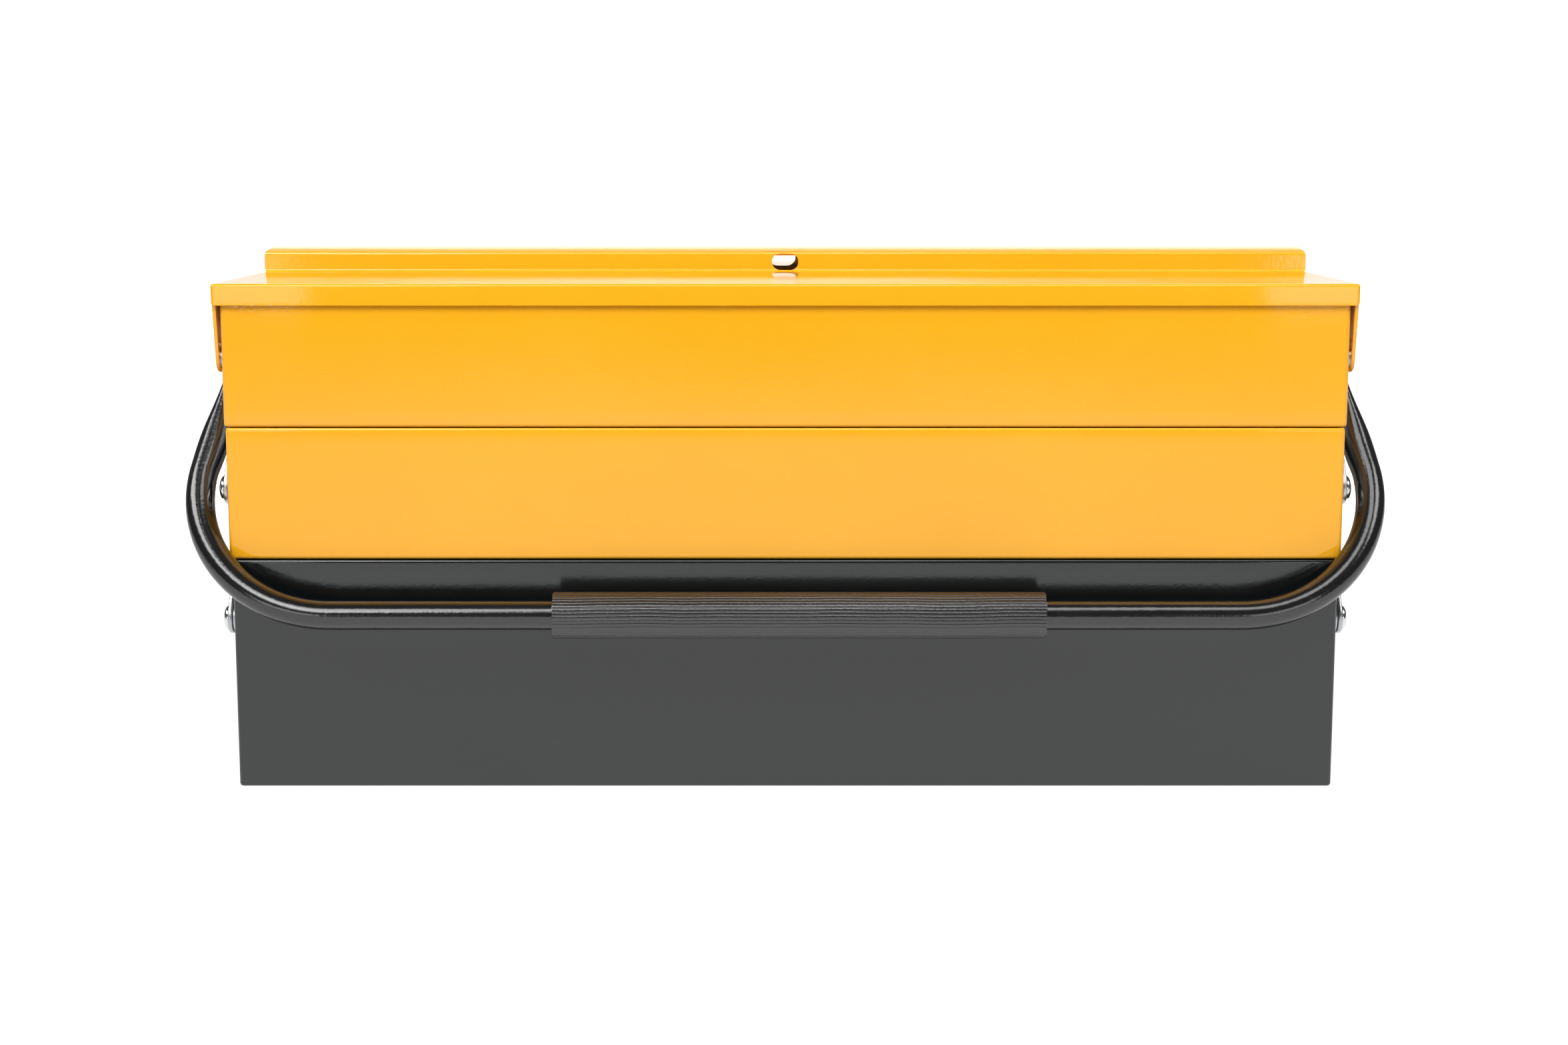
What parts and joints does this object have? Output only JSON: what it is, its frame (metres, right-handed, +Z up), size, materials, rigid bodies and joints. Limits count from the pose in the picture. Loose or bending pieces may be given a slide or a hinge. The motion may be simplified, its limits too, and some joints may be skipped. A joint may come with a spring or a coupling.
{
  "type": "cantilever tool box",
  "caption": "Steel cantilever tool box with tiered trays on parallel links, outward opening lids and two folding tube handles.",
  "frame": {"origin": "on the floor under the middle of the box, in the plane of its flat underside", "axes": "+X along the box to its right end, +Y from front to rear, +Z up"},
  "size_m": [0.4614, 0.2482, 0.2032],
  "materials": {
    "yellow_paint": "gloss orange-yellow enamel",
    "grey_paint": "satin anthracite enamel",
    "black_paint": "gloss black enamel",
    "zinc_plate": "zinc plated",
    "rivet_steel": "bright plated",
    "grip_rubber": "ribbed charcoal, dull sheen"
  },
  "bodies": {
    "bottom": {"bottom_box": "grey_paint", "bottom_rivets": "rivet_steel", "bottom_spacers": "zinc_plate"},
    "front_long_links": {"front_left_long_link": "zinc_plate", "front_right_long_link": "zinc_plate"},
    "front_middle_tray": {"front_middle_tray": "yellow_paint", "front_middle_rivets": "rivet_steel", "front_middle_spacers": "zinc_plate"},
    "front_top_tray": {"front_top_tray": "yellow_paint", "front_link_rivets": "rivet_steel", "front_handle_rivets": "rivet_steel", "front_eye_washers": "zinc_plate", "front_lid_rivets": "rivet_steel", "front_lid_spacers": "zinc_plate"},
    "front_lower_links": {"front_left_lower_link": "zinc_plate", "front_right_lower_link": "zinc_plate"},
    "front_upper_links": {"front_left_upper_link": "zinc_plate", "front_right_upper_link": "zinc_plate"},
    "front_lid": {"front_lid": "yellow_paint"},
    "front_handle": {"front_handle_bar": "black_paint", "front_left_handle_bend": "black_paint", "front_left_handle_arm": "black_paint", "front_right_handle_bend": "black_paint", "front_right_handle_arm": "black_paint", "front_grip": "grip_rubber"},
    "rear_long_links": {"rear_left_long_link": "zinc_plate", "rear_right_long_link": "zinc_plate"},
    "rear_middle_tray": {"rear_middle_tray": "yellow_paint", "rear_middle_rivets": "rivet_steel", "rear_middle_spacers": "zinc_plate"},
    "rear_top_tray": {"rear_top_tray": "yellow_paint", "rear_link_rivets": "rivet_steel", "rear_handle_rivets": "rivet_steel", "rear_eye_washers": "zinc_plate", "rear_lid_rivets": "rivet_steel", "rear_lid_spacers": "zinc_plate"},
    "rear_lower_links": {"rear_left_lower_link": "zinc_plate", "rear_right_lower_link": "zinc_plate"},
    "rear_upper_links": {"rear_left_upper_link": "zinc_plate", "rear_right_upper_link": "zinc_plate"},
    "rear_lid": {"rear_lid": "yellow_paint"},
    "rear_handle": {"rear_handle_bar": "black_paint", "rear_left_handle_bend": "black_paint", "rear_left_handle_arm": "black_paint", "rear_right_handle_bend": "black_paint", "rear_right_handle_arm": "black_paint", "rear_grip": "grip_rubber"}
  },
  "joints": [
    {"name": "front_open", "type": "hinge", "parent": "bottom", "child": "front_long_links", "pos_m": [0, -0.086, 0.064], "axis": [1, 0, 0], "range_deg": [0, 74]},
    {"name": "front_middle_level", "type": "hinge", "parent": "front_long_links", "child": "front_middle_tray", "pos_m": [0, -0.048, 0.1144], "axis": [1, 0, 0], "range_deg": [-74, 0]},
    {"name": "front_top_level", "type": "hinge", "parent": "front_long_links", "child": "front_top_tray", "pos_m": [0, -0.01, 0.1648], "axis": [1, 0, 0], "range_deg": [-74, 0]},
    {"name": "front_lower_swing", "type": "hinge", "parent": "bottom", "child": "front_lower_links", "pos_m": [0, -0.048, 0.064], "axis": [1, 0, 0], "range_deg": [0, 74]},
    {"name": "front_upper_swing", "type": "hinge", "parent": "front_middle_tray", "child": "front_upper_links", "pos_m": [0, -0.086, 0.1144], "axis": [1, 0, 0], "range_deg": [0, 74]},
    {"name": "front_lid_hinge", "type": "hinge", "parent": "front_top_tray", "child": "front_lid", "pos_m": [0, -0.09, 0.1648], "axis": [1, 0, 0], "range_deg": [0, 115]},
    {"name": "front_handle_swing", "type": "hinge", "parent": "front_top_tray", "child": "front_handle", "pos_m": [0, -0.048, 0.1648], "axis": [1, 0, 0], "range_deg": [-164, 0]},
    {"name": "rear_open", "type": "hinge", "parent": "bottom", "child": "rear_long_links", "pos_m": [0, 0.086, 0.064], "axis": [-1, 0, 0], "range_deg": [0, 74]},
    {"name": "rear_middle_level", "type": "hinge", "parent": "rear_long_links", "child": "rear_middle_tray", "pos_m": [0, 0.048, 0.1144], "axis": [-1, 0, 0], "range_deg": [-74, 0]},
    {"name": "rear_top_level", "type": "hinge", "parent": "rear_long_links", "child": "rear_top_tray", "pos_m": [0, 0.01, 0.1648], "axis": [-1, 0, 0], "range_deg": [-74, 0]},
    {"name": "rear_lower_swing", "type": "hinge", "parent": "bottom", "child": "rear_lower_links", "pos_m": [0, 0.048, 0.064], "axis": [-1, 0, 0], "range_deg": [0, 74]},
    {"name": "rear_upper_swing", "type": "hinge", "parent": "rear_middle_tray", "child": "rear_upper_links", "pos_m": [0, 0.086, 0.1144], "axis": [-1, 0, 0], "range_deg": [0, 74]},
    {"name": "rear_lid_hinge", "type": "hinge", "parent": "rear_top_tray", "child": "rear_lid", "pos_m": [0, 0.09, 0.1648], "axis": [-1, 0, 0], "range_deg": [0, 115]},
    {"name": "rear_handle_swing", "type": "hinge", "parent": "rear_top_tray", "child": "rear_handle", "pos_m": [0, 0.048, 0.1648], "axis": [-1, 0, 0], "range_deg": [-164, 0]}
  ],
  "couplings": [
    {"joint": "front_middle_level", "follows": "front_open", "ratio": -1},
    {"joint": "front_top_level", "follows": "front_open", "ratio": -1},
    {"joint": "front_lower_swing", "follows": "front_open", "ratio": 1},
    {"joint": "front_upper_swing", "follows": "front_open", "ratio": 1},
    {"joint": "rear_middle_level", "follows": "rear_open", "ratio": -1},
    {"joint": "rear_top_level", "follows": "rear_open", "ratio": -1},
    {"joint": "rear_lower_swing", "follows": "rear_open", "ratio": 1},
    {"joint": "rear_upper_swing", "follows": "rear_open", "ratio": 1}
  ]
}
